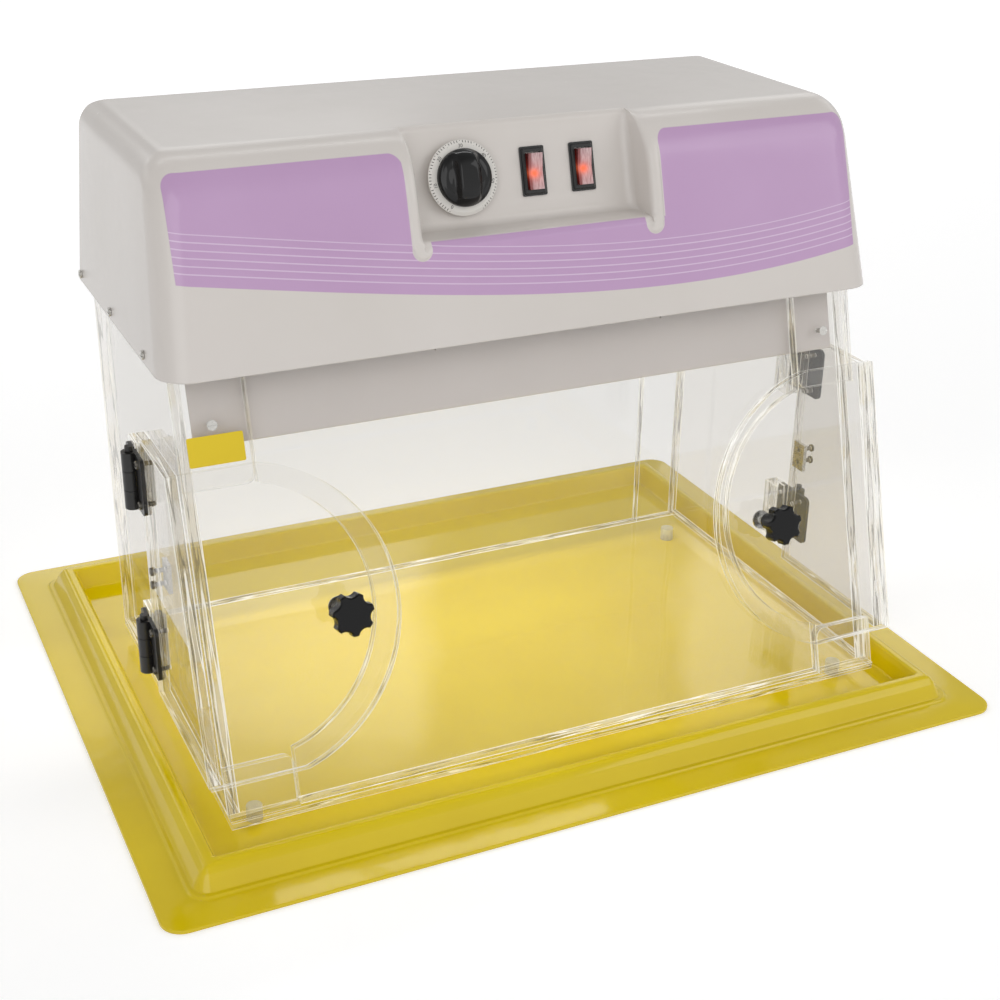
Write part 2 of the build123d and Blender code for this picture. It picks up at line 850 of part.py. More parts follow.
def make_dial():
    """Graduated skirt of the timer, standing clear of the pocket's face on the timer's shaft."""
    plane = lean_plane(pocket_offset)
    top = dial_standoff + dial_thickness
    disc = rod(plane, dial_x, control_rise, dial_radius, dial_standoff, top)
    rim = disc.faces().sort_by(Axis(plane.origin, plane.z_dir))[-1].edges()
    disc = chamfer(rim, dial_thickness / 2, dial_thickness)
    hub = rod(plane, dial_x, control_rise, 3 * shaft_radius, dial_hub_gap, dial_standoff)
    return disc + hub - rod(plane, dial_x, control_rise, shaft_radius + shaft_gap, 0, top)


def make_timer_knob():
    """Domed knob on top of the graduated skirt."""
    plane = lean_plane(pocket_offset + dial_standoff + dial_thickness)
    knob = rod(plane, dial_x, control_rise, timer_knob_radius, 0, timer_knob_height)
    rim = knob.faces().sort_by(Axis(plane.origin, plane.z_dir))[-1].edges()
    knob = fillet(rim, timer_knob_round)
    return knob - rod(plane, dial_x, control_rise, shaft_radius + shaft_gap, 0, timer_knob_height / 2)


def make_timer_body():
    """Clockwork behind the pocket's face, with its shaft reaching out into the knob."""
    plane = lean_plane(pocket_offset - hood_sheet)
    size = timer_body_size
    square = Pos(dial_x, control_rise) * RectangleRounded(size, size, timer_body_corner)
    shaft_end = hood_sheet + dial_standoff + dial_thickness + timer_knob_height / 2 - shaft_end_gap
    case = extrude(plane * square, -timer_body_depth)
    return case + rod(plane, dial_x, control_rise, shaft_radius, 0, shaft_end)


def make_switch_housing(x):
    """Rocker switch's black housing: body behind the panel, flange and raised collar in front."""
    plane = lean_plane(pocket_offset)
    centre = Pos(x, control_rise)
    body = centre * Rectangle(switch_body_width, switch_body_height)
    bezel = centre * RectangleRounded(bezel_width, bezel_height, bezel_corner)
    collar = centre * RectangleRounded(collar_width, collar_height, bezel_corner)
    collar = extrude(plane * collar, collar_rise)
    collar = chamfer(collar.faces().sort_by(Axis(plane.origin, plane.z_dir))[-1].edges(), collar_edge)
    well = centre * Rectangle(rocker_width + 2 * rocker_gap, rocker_height + 2 * rocker_gap)
    piece = extrude(plane * body, -switch_body_depth) + extrude(plane * bezel, bezel_flange) + collar
    piece -= extrude(plane.offset(collar_rise) * well, -collar_rise - rocker_skirt)
    return piece - pivot(x, pivot_radius + screw_hole_gap, pivot_half + screw_hole_gap)


def pivot(x, radius, reach):
    """Round bar through a rocker, along the axis that it rocks about."""
    plane = lean_plane(pocket_offset)
    centre = plane.origin + plane.y_dir * control_rise + plane.x_dir * x
    return rod(Plane(origin=centre, x_dir=plane.y_dir, z_dir=plane.x_dir), 0, 0, radius, -reach, reach)


def make_rocker(x):
    """Lit rocker, its two wings meeting in a shallow valley, pressed in at its lower end."""
    plane = lean_plane(pocket_offset)
    tip = rocker_height / 2
    valley = rocker_rise - tip * sin(rocker_tilt * pi / 180)
    wings = [(-tip, rocker_rise), (0, valley), (tip, rocker_rise), (tip, rocker_lip)]
    keel = [(rocker_keel_half, -rocker_keel), (-rocker_keel_half, -rocker_keel), (-tip, rocker_lip)]
    edge = plane.origin + plane.x_dir * (x - rocker_width / 2)
    side = Plane(origin=edge, x_dir=plane.y_dir, z_dir=plane.x_dir)
    corners = [(control_rise + s, n) for s, n in wings + keel]
    outline = make_face(side * Polyline(*corners, close=True))
    rocker = extrude(outline, rocker_width, dir=plane.x_dir)
    axis = Axis(plane.origin + plane.y_dir * control_rise, plane.x_dir)
    return rocker.rotate(axis, rocker_tilt / 2) + pivot(x, pivot_radius, pivot_half)


def make_label():
    """Plain label on the upper left tab."""
    sketch = rect(-half + label_outer, -half + label_inner, label_low, label_high)
    return slab(fillet(sketch.vertices(), label_corner), label_thickness, label_thickness)


def make_inlet():
    """Power socket in the hood's back, with its flange outside and three contact blades."""
    skin = hood_back - (hood_back - hood_back_top) * (inlet_rise - hood_rim) / (hood_top - hood_rim)
    wide = inlet_width / 2 - inlet_shoulder
    tall = inlet_height / 2
    out = skin + inlet_proud
    low = inlet_rise - tall
    body = block(inlet_x - wide, inlet_x + wide, out - inlet_depth, out, low, low + inlet_height)
    side = inlet_width / 2 + inlet_ear
    high = tall + inlet_brow
    low = inlet_rise - high
    flange = block(inlet_x - side, inlet_x + side, out, out + inlet_flange, low, low + 2 * high)
    flange = fillet(flange.edges().filter_by(Axis.Y), inlet_ear)
    deep = out - inlet_mouth_depth
    low = inlet_rise - inlet_mouth_rise
    high = inlet_rise + inlet_mouth_rise
    mouth = block(inlet_x - inlet_mouth, inlet_x + inlet_mouth, deep, beyond, low, high)
    piece = body + flange - mouth
    for x, z in blade_spots:
        left = inlet_x + x - blade_half
        low = inlet_rise + z - blade_rise
        right = left + 2 * blade_half
        piece += block(left, right, deep - overcut, out - blade_sink, low, low + 2 * blade_rise)
    return piece


def make_clip(x):
    """Clip over the sash's top edge, its foot standing on the lamp chassis."""
    w = clip_width / 2
    t = clip_sheet
    front = slab(rect(x - w, x + w, sash_end - clip_reach, sash_end + t), t, t)
    over = slab(rect(x - w, x + w, sash_end, sash_end + t), t, wall + 2 * t)
    behind = slab(rect(x - w, x + w, chassis_ceiling, sash_end + t), -wall, t)
    y0 = front_depth(chassis_ceiling, -wall) + t
    foot = block(x - w, x + w, y0, y0 + clip_reach, chassis_ceiling, chassis_ceiling + t)
    above = block(-half, half, 0, cabinet_depth, chassis_ceiling, hood_top)
    return front + over + (behind & above) + foot


# Tray and clear box
save(make_tray(), "tray")
save(make_feet(), "rubber_feet")
save(block(-half, half, 0, cabinet_depth, 0, base_thickness), "base_plate")
save_pair(make_side_wall(), "side_wall")
inside = half - wall
strip = inside - back_strip_width
back = cabinet_depth - wall
save(block(-inside, strip, back, cabinet_depth, base_thickness, wall_height), "back_wall")
save(block(strip, inside, back, cabinet_depth, base_thickness, wall_height), "back_strip")
save_pair(make_upper_tab(), "upper_tab")
save_pair(make_lower_tab(), "lower_tab")
save(make_sash(), "front_window")
save(group([make_clip(-clip_share * half), make_clip(clip_share * half)]), "window_clips")
save(make_label(), "plain_label")

# Doors with their hinges and knobs
save_pair(make_door_plate(), "door_plate")
save_pair(make_door_leg(), "door_leg")
save_pair(make_keeper(), "door_keeper")
fixed = group([leaf(z, 1, knuckles(z)[0]) for z in hinge_heights])
moving = group([leaf(z, -1, knuckles(z)[1]) for z in hinge_heights])
save_pair(fixed, "fixed_leaves")
save_pair(moving, "moving_leaves")
save_pair(group([make_hinge_pin(z) for z in hinge_heights]), "hinge_pins")
save_pair(group([make_spacer(z) for z in hinge_heights]), "hinge_spacers")
save_pair(group(leaf_screws(1)), "fixed_leaf_screws")
save_pair(group(leaf_screws(-1) + keeper_screws()), "door_screws")
save_pair(make_star_knob(), "star_knob")
save_pair(make_knob_fixings(), "knob_fixings")

# Lamp chassis
save(make_chassis(), "lamp_chassis")
screw = make_chassis_screw()
save(group([screw, flip(screw)]), "chassis_screws")
save(make_lamp(lamp_depths[0]), "uv_lamp")
save(make_lamp(lamp_depths[1]), "white_lamp")
save(group([cap for depth in lamp_depths for cap in make_caps(depth)]), "lamp_caps")
save(group([holder for depth in lamp_depths for holder in make_holders(depth)]), "lamp_holders")
length, width, height = ballast_size
y0 = ballast_depth - width / 2
top = chassis_ceiling + height
starts = [share * half for share in ballast_shares]
save(group([block(x, x + length, y0, y0 + width, chassis_ceiling, top) for x in starts]), "ballasts")

# Hood and controls
save(make_hood(), "hood")
screws = make_hood_screws()
save(group(screws + [flip(item) for item in screws]), "hood_screws")
bushes = make_bushes()
save(group(bushes + [flip(item) for item in bushes]), "hood_bushes")
pad = make_rim_pad()
save(group([pad, flip(pad)]), "rim_pads")
save(make_timer_body(), "timer_body")
save(make_dial(), "timer_dial")
save(make_timer_knob(), "timer_knob")
save(make_switch_housing(light_switch_x), "light_switch_housing")
save(make_switch_housing(power_switch_x), "power_switch_housing")
save(make_rocker(light_switch_x), "light_rocker")
save(make_rocker(power_switch_x), "power_rocker")
save(make_inlet(), "power_inlet")
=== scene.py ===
"""Looks of the clear bench cabinet in its spill tray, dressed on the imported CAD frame."""
from math import atan, cos, pi, radians, sin

import bpy
import numpy as np
from mathutils import Matrix


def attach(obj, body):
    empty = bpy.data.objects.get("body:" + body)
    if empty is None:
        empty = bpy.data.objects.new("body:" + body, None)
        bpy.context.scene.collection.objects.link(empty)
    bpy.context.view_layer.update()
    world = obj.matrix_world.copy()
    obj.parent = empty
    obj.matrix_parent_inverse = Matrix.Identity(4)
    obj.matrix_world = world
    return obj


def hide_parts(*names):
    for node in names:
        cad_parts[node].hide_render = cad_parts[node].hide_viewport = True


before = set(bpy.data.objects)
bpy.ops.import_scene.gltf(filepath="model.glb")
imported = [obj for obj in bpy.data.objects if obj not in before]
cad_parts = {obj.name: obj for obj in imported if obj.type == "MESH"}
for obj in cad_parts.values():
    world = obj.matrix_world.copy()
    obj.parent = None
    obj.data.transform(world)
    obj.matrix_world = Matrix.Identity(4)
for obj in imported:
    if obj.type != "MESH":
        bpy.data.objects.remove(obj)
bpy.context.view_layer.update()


# Spill tray: one sheet of glossy yellow ABS, 3 mm thick, drawn over a mould by vacuum.
# The sheet forms a flat rim, a hollow ridge all round and a flat floor. It lies loose on the bench.
class Term:
    """A socket in a material's nodes. Arithmetic on it adds Math nodes, and node() adds any other node."""

    def __init__(self, tree, socket=None):
        self.tree = tree
        self.socket = socket

    def node(self, kind, settings, inputs, out=0):
        """Adds a node: its settings are made first, then its sockets get values or links."""
        made = self.tree.nodes.new("ShaderNode" + kind)
        for key, value in settings.items():
            setattr(made, key, value)
        for key, value in inputs.items():
            if isinstance(value, Term):
                self.tree.links.new(value.socket, made.inputs[key])
            elif isinstance(value, tuple) and len(value) == 3 and made.inputs[key].type == "RGBA":
                made.inputs[key].default_value = (*value, 1)
            else:
                made.inputs[key].default_value = value
        return Term(self.tree, made.outputs[out])

    def math(self, kind, first, second=0.0):
        return self.node("Math", {"operation": kind}, {0: first, 1: second})

    def __add__(self, other):
        return self.math("ADD", self, other)

    def __sub__(self, other):
        return self.math("SUBTRACT", self, other)

    def __rsub__(self, other):
        return self.math("SUBTRACT", other, self)

    def __mul__(self, other):
        return self.math("MULTIPLY", self, other)

    def __truediv__(self, other):
        return self.math("DIVIDE", self, other)

    __radd__ = __add__
    __rmul__ = __mul__

    def __abs__(self):
        return self.math("ABSOLUTE", self)

    def at_least(self, other):
        """The larger of the two."""
        return self.math("MAXIMUM", self, other)

    def at_most(self, other):
        """The smaller of the two."""
        return self.math("MINIMUM", self, other)

    def root(self):
        return self.math("SQRT", self)

    def clamp(self):
        """Kept between 0 and 1."""
        return self.node("Clamp", {}, {0: self})

    def over(self, edge, soft):
        """0 below an edge and 1 above it, with a straight step of width soft."""
        return ((self - edge) / soft + 0.5).clamp()


def srgb(red, green, blue):
    """Linear colour of three screen values from 0 to 255."""
    share = np.array((red, green, blue)) / 255
    return tuple(float(v) for v in np.where(share < 0.04045, share / 12.92, ((share + 0.055) / 1.055) ** 2.4))


def new_finish(name):
    """An empty material, the term that its nodes start from, and its place: object coordinates."""
    material = bpy.data.materials.new(name)
    material.use_nodes = True
    material.node_tree.nodes.clear()
    start = Term(material.node_tree)
    return material, start, start.node("TexCoord", {}, {}, out=3)


def cover(material, shader):
    """Ends a material with its shader."""
    output = shader.tree.nodes.new("ShaderNodeOutputMaterial")
    shader.tree.links.new(shader.socket, output.inputs["Surface"])
    return material


def blend(factor, first, second):
    """Mix of two colours."""
    return factor.node("Mix", {"data_type": "RGBA"}, {0: factor, 6: first, 7: second}, out=2)


def noise(place, scale, detail=2.0, rough=0.5):
    """Noise round 0.5 at a scale of waves per metre."""
    return place.node("TexNoise", {}, {"Vector": place, "Scale": scale, "Detail": detail, "Roughness": rough})


def plastic(name, colour, shade, rough, grain=0.0, scale=900, ior=1.5):
    """Moulded plastic: colour drifts slowly to a second shade, gloss is broken by faint handling marks.

    grain is the height in metres of the skin's bumps, and scale their number of waves per metre.
    """
    sway = 0.12
    material, start, place = new_finish(name)
    drift = noise(place, 9, 3)
    marks = noise(place, 60, 6, 0.65)
    inputs = {
        "Base Color": blend(drift.over(0.5, 0.5), colour, shade),
        "Roughness": (rough * (1 - sway) + marks * (2 * rough * sway)).clamp(),
        "IOR": ior,
    }
    if grain:
        skin_bumps = noise(place, scale, 3)
        inputs["Normal"] = start.node("Bump", {}, {"Strength": 0.4, "Distance": grain, "Height": skin_bumps})
    return cover(material, start.node("BsdfPrincipled", {}, inputs))


def dress(material, *nodes):
    """Gives CAD nodes a material in every slot."""
    for node in nodes:
        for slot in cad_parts[node].material_slots:
            slot.material = material


def softened(points, radii, steps=6):
    """Open line in a plane with each inner corner rounded.

    A corner at c with reach r becomes the parabola from c - r*u to c + r*v, pulled towards c,
    where u and v point along its two sides.
    """
    points = np.array(points, float)
    out = [points[:1]]
    for before, here, after, reach in zip(points[:-2], points[1:-1], points[2:], radii):
        u = (here - before) / np.linalg.norm(here - before)
        v = (after - here) / np.linalg.norm(after - here)
        t = np.linspace(0, 1, steps)[:, None]
        out.append((1 - t) ** 2 * (here - reach * u) + 2 * t * (1 - t) * here + t**2 * (here + reach * v))
    out.append(points[-1:])
    return np.concatenate(out)


def round_rect(half_x, half_y, radius, steps=10):
    """Closed outline round a rectangle: at each corner a quarter circle about the point radius inside it."""
    turn = np.linspace(0, pi / 2, steps)
    quarter = np.stack([np.cos(turn), np.sin(turn)], -1) * radius
    out = []
    for side in range(4):
        spin = np.array([[cos(side * pi / 2), -sin(side * pi / 2)], [sin(side * pi / 2), cos(side * pi / 2)]])
        middle = np.array([(1, 1), (-1, 1), (-1, -1), (1, -1)][side]) * (half_x - radius, half_y - radius)
        out.append(quarter @ spin.T + middle)
    return np.concatenate(out)


def build(name, points, faces, materials, body, sharp=35):
    """Mesh object in metres from points in millimetres; edges sharper than an angle stay crisp."""
    mesh = bpy.data.meshes.new(name)
    mesh.from_pydata(np.asarray(points) / 1000, [], faces)
    for material in materials:
        mesh.materials.append(material)
    mesh.polygons.foreach_set("use_smooth", np.ones(len(mesh.polygons), bool))
    mesh.set_sharp_from_angle(angle=radians(sharp))
    mesh.update()
    piece = bpy.data.objects.new(name, mesh)
    bpy.context.collection.objects.link(piece)
    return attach(piece, body)


def skin(rings, caps=True):
    """Points and faces of closed rings joined one to the next by four-sided faces; end rings may be capped."""
    count, size = len(rings), len(rings[0])
    here = np.arange(count * size).reshape(count, size)
    right = np.roll(here, -1, axis=1)
    faces = np.stack([here[:-1], right[:-1], right[1:], here[1:]], -1).reshape(-1, 4).tolist()
    if caps:
        faces += [here[0][::-1].tolist(), here[-1].tolist()]
    return np.concatenate(rings), faces


def tray_rings(line):
    """Rounded rectangles at each (inset, height) of the sheet's section, corners tighter further in.

    Over the rim's width the corner radius falls slowly from 18 mm to 14 mm. Within it the radius is
    what a corner drawn about one point would have, but 3 mm at least.
    """
    half_wide, half_deep, rim = 375, 300, 31
    rings = []
    for inset, height in line:
        radius = 18 - 4 * inset / rim if inset < rim else max(14 + rim - inset, 3)
        flat = round_rect(half_wide - inset, half_deep - inset, radius)
        rings.append(np.column_stack([flat, np.full(len(flat), height)]))
    return rings


# The sheet's section, as (inset from the outer edge, height): its under side first, then its top.
tray_line = softened([(62, 0), (57, 0), (51, 19), (43, 19), (31, 0), (0, 0),
                      (0, 3), (26.6, 3), (28, 4.8), (31.2, 4.8), (37.6, 16.4), (43, 22), (51, 22), (57, 3), (70, 3)],
                     [2, 2, 2, 2, 0.3, 1.0, 1.0, 0.8, 0.8, 1.2, 3, 2, 2, 2.4])
tray_yellow = plastic("tray_yellow", srgb(220, 195, 2), srgb(213, 186, 0), 0.08, 0.0005, 30)
tray = build("formed_tray", *skin(tray_rings(tray_line)), [tray_yellow], "cabinet", 60)
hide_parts("tray")

# Feet: four discs of soft, half clear rubber, stuck under the base plate near its corners. They lift
# the cabinet clear of the tray's floor.
foot, start, place = new_finish("foot_rubber")
haze = start.node("BsdfPrincipled", {}, {
    "Base Color": blend(noise(place, 60, 3), srgb(240, 238, 222), srgb(228, 226, 206)), "Roughness": 0.4})
air = start.node("BsdfTransparent", {}, {"Color": (0.97, 0.97, 0.92)})
share = noise(place, 90, 2) * 0.3 + 0.4
dress(cover(foot, start.node("MixShader", {}, {0: share, 1: air, 2: haze})), "rubber_feet")


# Clear box: sheets of cast acrylic 10 mm thick, cut to shape, flame-polished at the edges and glued.
# The light that the cut edges gather is painted on them: pale cream stripes, painted highlight lines
# in white along both faces and along streaks, a faint painted glow, painted reflections of the yellow
# tray in patches and painted shade in dark streaks. The front leans back by 0.288 mm for each mm of
# height, from a foot 216 mm before the origin and 15.5 mm up.
lean, foot_depth, foot_rise = 0.288, 216, 15.5
tilt = atan(lean)


def clear_air(start, place, tint, shine, wave=0.0):
    """What a polished clear face shows: the view straight through, and a mirror image by Fresnel's law.

    wave is the height in metres of slow waves that bend the mirror image.
    """
    outside = 1 - start.node("NewGeometry", {}, {}, out=6)
    mirror = (start.node("Fresnel", {}, {"IOR": 1.49}) * shine * outside).clamp()
    inputs = {"Color": (1, 1, 1), "Roughness": noise(place, 22, 5, 0.6).over(0.6, 0.4) * 0.05 + 0.01}
    if wave:
        inputs["Normal"] = start.node("Bump", {}, {"Strength": 1.0, "Distance": wave, "Height": noise(place, 9, 1)})
    gloss = start.node("BsdfGlossy", {}, inputs)
    air = start.node("BsdfTransparent", {}, {"Color": tint})
    return start.node("MixShader", {}, {0: mirror, 1: air, 2: gloss}), air


def acrylic(name, across, start_at, thickness, fold=False, tint=(0.972, 0.97, 0.965), shine=1.5, wave=0.0):
    """Clear sheet whose big faces are square to across; start_at is where it begins along that direction.

    fold counts distance from the middle plane, so that one finish serves the left and the right.
    """
    material, start, place = new_finish(name)
    normal = start.node("TexCoord", {}, {}, out=1)
    facing = start.node("VectorMath", {"operation": "DOT_PRODUCT"}, {0: normal, 1: across}, out=1)
    along = start.node("VectorMath", {"operation": "DOT_PRODUCT"}, {0: place, 1: across}, out=1)
    if fold:
        along = abs(along)
    depth = (start_at - along) / thickness
    edge = 1 - abs(facing).over(0.8, 0.1)
    face, air = clear_air(start, place, tint, shine, wave)
    shift = start.node("VectorMath", {"operation": "SCALE"}, {0: across, "Scale": depth * 0.22})
    streak_place = start.node("VectorMath", {"operation": "ADD"}, {0: place, 1: shift})
    streak = noise(streak_place, 8, 2, 0.5)
    # Painted highlight: white lines near both faces of each cut edge.
    painted_border_glint = abs(depth - 0.5).over(0.41, 0.08)
    # Painted shade in thin dark streaks, and painted highlight lines beside them, along each cut edge.
    painted_dark_streak = 1 - abs(streak - 0.5).over(0.022, 0.02)
    painted_glint_line = 1 - abs(streak - 0.57).over(0.03, 0.03)
    # Painted reflection of the yellow tray, in patches on the cut edges.
    painted_tray_reflection = noise(place, 31, 1).over(0.56, 0.12)
    painted_edge_light = blend(painted_tray_reflection * 0.65, (0.86, 0.84, 0.77), srgb(228, 202, 96))
    painted_edge_light = blend(painted_dark_streak, painted_edge_light, srgb(104, 98, 78))
    painted_edge_light = blend(painted_border_glint.at_least(painted_glint_line), painted_edge_light, (1.0, 1.0, 0.98))
    lines = (painted_border_glint * 0.85).at_least((painted_dark_streak * 0.6).at_least(painted_glint_line * 0.75))
    cover_share = lines.at_least(streak.over(0.5, 0.6) * 0.35 + 0.08)
    # The cut edges' colour is painted light, and their emission is a painted glow.
    polished = start.node("BsdfPrincipled", {}, {
        "Base Color": painted_edge_light, "Roughness": 0.12, "IOR": 1.49, "Emission Color": painted_edge_light, "Emission Strength": 0.14})
    cut = start.node("MixShader", {}, {0: cover_share, 1: air, 2: polished})
    return cover(material, start.node("MixShader", {}, {0: edge, 1: face, 2: cut}))


lean_normal = (0.0, -cos(tilt), sin(tilt))
front_at = (foot_depth * cos(tilt) + foot_rise * sin(tilt)) / 1000
door_at = front_at + 0.0115
side_at, leg_at, back_at, base_at = 0.300, 0.314, 0.134, 0.0215
dress(acrylic("clear_front", lean_normal, front_at, 0.010), "left_upper_tab", "right_upper_tab",
      "left_lower_tab", "right_lower_tab", "front_window")
dress(acrylic("clear_door", lean_normal, door_at, 0.010), "left_door_plate", "right_door_plate")
sideways, backwards, upwards = (1.0, 0.0, 0.0), (0.0, 1.0, 0.0), (0.0, 0.0, 1.0)
# The beige and grey tints are painted shade: they darken the view through the side walls, door legs and back towards
# grey-beige.
beige, grey, faint = (0.892, 0.882, 0.866), (0.915, 0.912, 0.905), (0.985, 0.985, 0.985)
dress(acrylic("clear_side", sideways, side_at, 0.010, True, beige, 0.9), "left_side_wall", "right_side_wall")
dress(acrylic("clear_leg", sideways, leg_at, 0.010, True, beige, 0.9), "left_door_leg", "right_door_leg")
dress(acrylic("clear_block", sideways, leg_at, 0.014, True), "left_hinge_spacers", "right_hinge_spacers")
dress(acrylic("clear_back", backwards, back_at, 0.010, False, grey), "back_wall", "back_strip")
dress(acrylic("clear_base", upwards, base_at, 0.006, False, faint, 0.9, 0.0012), "base_plate")


# Screws, clips, knob studs and catch plates: zinc-plated steel, and darker steel for the doors' screws.
# They hold the hinges, the hood and the chassis on the clear sheets.
def metal(name, colour, rough, grain=0.0):
    """Bare metal: its grain shows as small spots in its colour and its gloss."""
    material, start, place = new_finish(name)
    spots = noise(place, 700, 4, 0.6)
    inputs = {
        "Base Color": blend(spots, colour, tuple(0.86 * c for c in colour)),
        "Metallic": 1.0,
        "Roughness": (rough * 0.7 + spots * (rough * 0.6)).clamp(),
    }
    if grain:
        inputs["Normal"] = start.node("Bump", {}, {"Strength": 0.3, "Distance": grain, "Height": spots})
    return cover(material, start.node("BsdfPrincipled", {}, inputs))


zinc = metal("zinc_steel", srgb(205, 203, 198), 0.28, 0.00002)
dress(zinc, "chassis_screws", "hood_screws", "window_clips", "left_fixed_leaf_screws", "right_fixed_leaf_screws",
      "left_knob_fixings", "right_knob_fixings", "left_door_keeper", "right_door_keeper")
dress(metal("dark_steel", srgb(128, 124, 116), 0.3, 0.00002), "left_door_screws", "right_door_screws")

# Hinges, knobs and label: hinges and star knobs are moulded in black plastic and screwed through the
# doors. The label is a blank yellow film, stuck on the upper left tab.
dress(plastic("label_film", srgb(226, 198, 12), srgb(222, 192, 8), 0.35), "plain_label")
dress(plastic("hinge_black", srgb(30, 29, 28), srgb(23, 22, 22), 0.32, 0.00004), "left_fixed_leaves",
      "right_fixed_leaves", "left_moving_leaves", "right_moving_leaves", "left_hinge_pins", "right_hinge_pins")
dress(plastic("knob_black", srgb(15, 15, 15), srgb(11, 11, 12), 0.14, ior=1.33), "left_star_knob", "right_star_knob")


# Lamp chassis: one steel sheet 1.5 mm thick, bent to a leaning front, a ceiling and a rear flange,
# and painted a warm grey. It carries the lamps and ballasts, and two screws hold it to the upper tabs.
def chassis_line():
    """Closed section of the bent sheet as (depth, height) from the foot of the clear front.

    Its front lies 10.4 mm behind the clear sheets' outer face, measured square to it.
    """
    behind, ceiling, rear, flange, lip, sheet = 10.4, 352, 340, 22, 12, 1.5
    low = 294 * cos(tilt) - behind * sin(tilt)
    under = ceiling - sheet
    outer = lambda height: lean * height + behind / cos(tilt)
    inner = lambda height: lean * height + (behind + sheet) / cos(tilt)
    foot = outer(low)
    line = [(foot + lip / 2, low), (foot, low), (outer(ceiling), ceiling), (rear, ceiling),
            (rear, ceiling - flange), (rear - sheet, ceiling - flange), (rear - sheet, under),
            (inner(under), under), (inner(low + sheet), low + sheet), (foot + lip, low + sheet),
            (foot + lip, low), (foot + lip / 2, low)]
    return softened(line, [2.4, 2.4, 2.4, 0.3, 0.3, 1, 1, 1, 0.3, 0.3])[:-1]


section = chassis_line()
stations = np.array([-286, -285.4, -150, 0, 150, 285.4, 286])
flat = [np.column_stack([np.full(len(section), x), section + (-foot_depth, foot_rise)]) for x in stations]
chassis_paint = plastic("chassis_paint", srgb(212, 205, 201), srgb(207, 200, 196), 0.5, 0.00002, 1500)
sheet = build("chassis_sheet", *skin(flat), [chassis_paint], "cabinet", 30)
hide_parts("lamp_chassis")

# Lamps: a clear quartz tube and a white one that is lit, with pressed aluminium caps, in white holders
# under the chassis. Their ballasts are enamelled blocks on top of it.
tube, start, place = new_finish("clear_tube")
dress(cover(tube, clear_air(start, place, (0.93, 0.95, 0.98), 1.5)[0]), "uv_lamp")
tube, start, place = new_finish("tube_lit")
warm = blend(noise(place, 30, 3), (1.0, 0.97, 0.92), (0.98, 0.95, 0.92))
dress(cover(tube, start.node("BsdfPrincipled", {}, {
    "Base Color": warm, "Roughness": 0.1, "Emission Color": warm, "Emission Strength": 3.0})), "white_lamp")
dress(metal("cap_aluminium", srgb(210, 210, 210), 0.3), "lamp_caps")
dress(plastic("holder_white", srgb(232, 232, 228), srgb(226, 226, 222), 0.4), "lamp_holders", "hood_bushes")
dress(plastic("ballast_enamel", srgb(215, 215, 210), srgb(210, 210, 205), 0.4), "ballasts")


# Hood: a shell of cream ABS formed in one piece, 3 mm thick, with large soft roundings. A pocket for
# the controls is let into its front edge, a purple film covers the front, and three screws on each
# side hold it. A bead runs down each side of the pocket and ends round a point at 101 and 412 mm.
hood_rim, hood_top, front_round, side_round = 340, 492.6, 46, 22
pocket_half, pocket_ledge, pocket_back = 99, 417, 5.93
bead_side, bead_end = 101, 412


def front_line(height):
    """Depth of the hood's front: a leaning line, then an arc of 46 mm that ends level at the top."""
    rim_depth = 71
    start = hood_top - front_round * (1 - sin(tilt))
    lower = rim_depth + lean * (np.minimum(height, start) - hood_rim)
    bow = np.clip(height - hood_top + front_round, 0, front_round)
    arc = rim_depth + lean * (start - hood_rim) + front_round * cos(tilt) - np.sqrt(front_round**2 - bow**2)
    return np.where(height > start, arc, lower)


def drawn_in(height):
    """How far the side and back edges' rounding of 22 mm has drawn in at a height."""
    above = np.clip(height - hood_top + side_round, 0, side_round)
    return side_round - np.sqrt(side_round**2 - above**2)


def across_front():
    """Columns across the front from left to right: x, share of the pocket's depth, and bead height beside it.

    The pocket's edge is a quarter circle of 6 mm into it and one of 8 mm at its back corner, and the
    pocket is 33 mm deep there.
    """
    lip, corner, deep = 6, 8, 33
    turn = np.linspace(0, pi / 2, 7)
    lip_x, lip_f = -pocket_half - lip + lip * np.sin(turn), lip * (1 - np.cos(turn)) / deep
    back_x, back_f = -pocket_half + corner * (1 - np.cos(turn)), 1 - corner * (1 - np.sin(turn)) / deep
    outer = np.array([-262, -230, -200, -160, -130, -112, -110, -109.3, -108.6, -107.8, -107, -106])
    bead = np.array([0, 0, 0, 0, 0, 0, 0.1, 0.5, 1.1, 1.6, 1.9, 2.0])
    x = np.concatenate([outer, lip_x, back_x, (-60, -20)])
    share = np.concatenate([0 * outer, lip_f, back_f, (1, 1)])
    bead = np.concatenate([bead, np.linspace(2, 1.6, 7), 0 * back_x, (0, 0)])
    return np.concatenate([x, -x[::-1]]), np.concatenate([share, share[::-1]]), np.concatenate([bead, bead[::-1]])


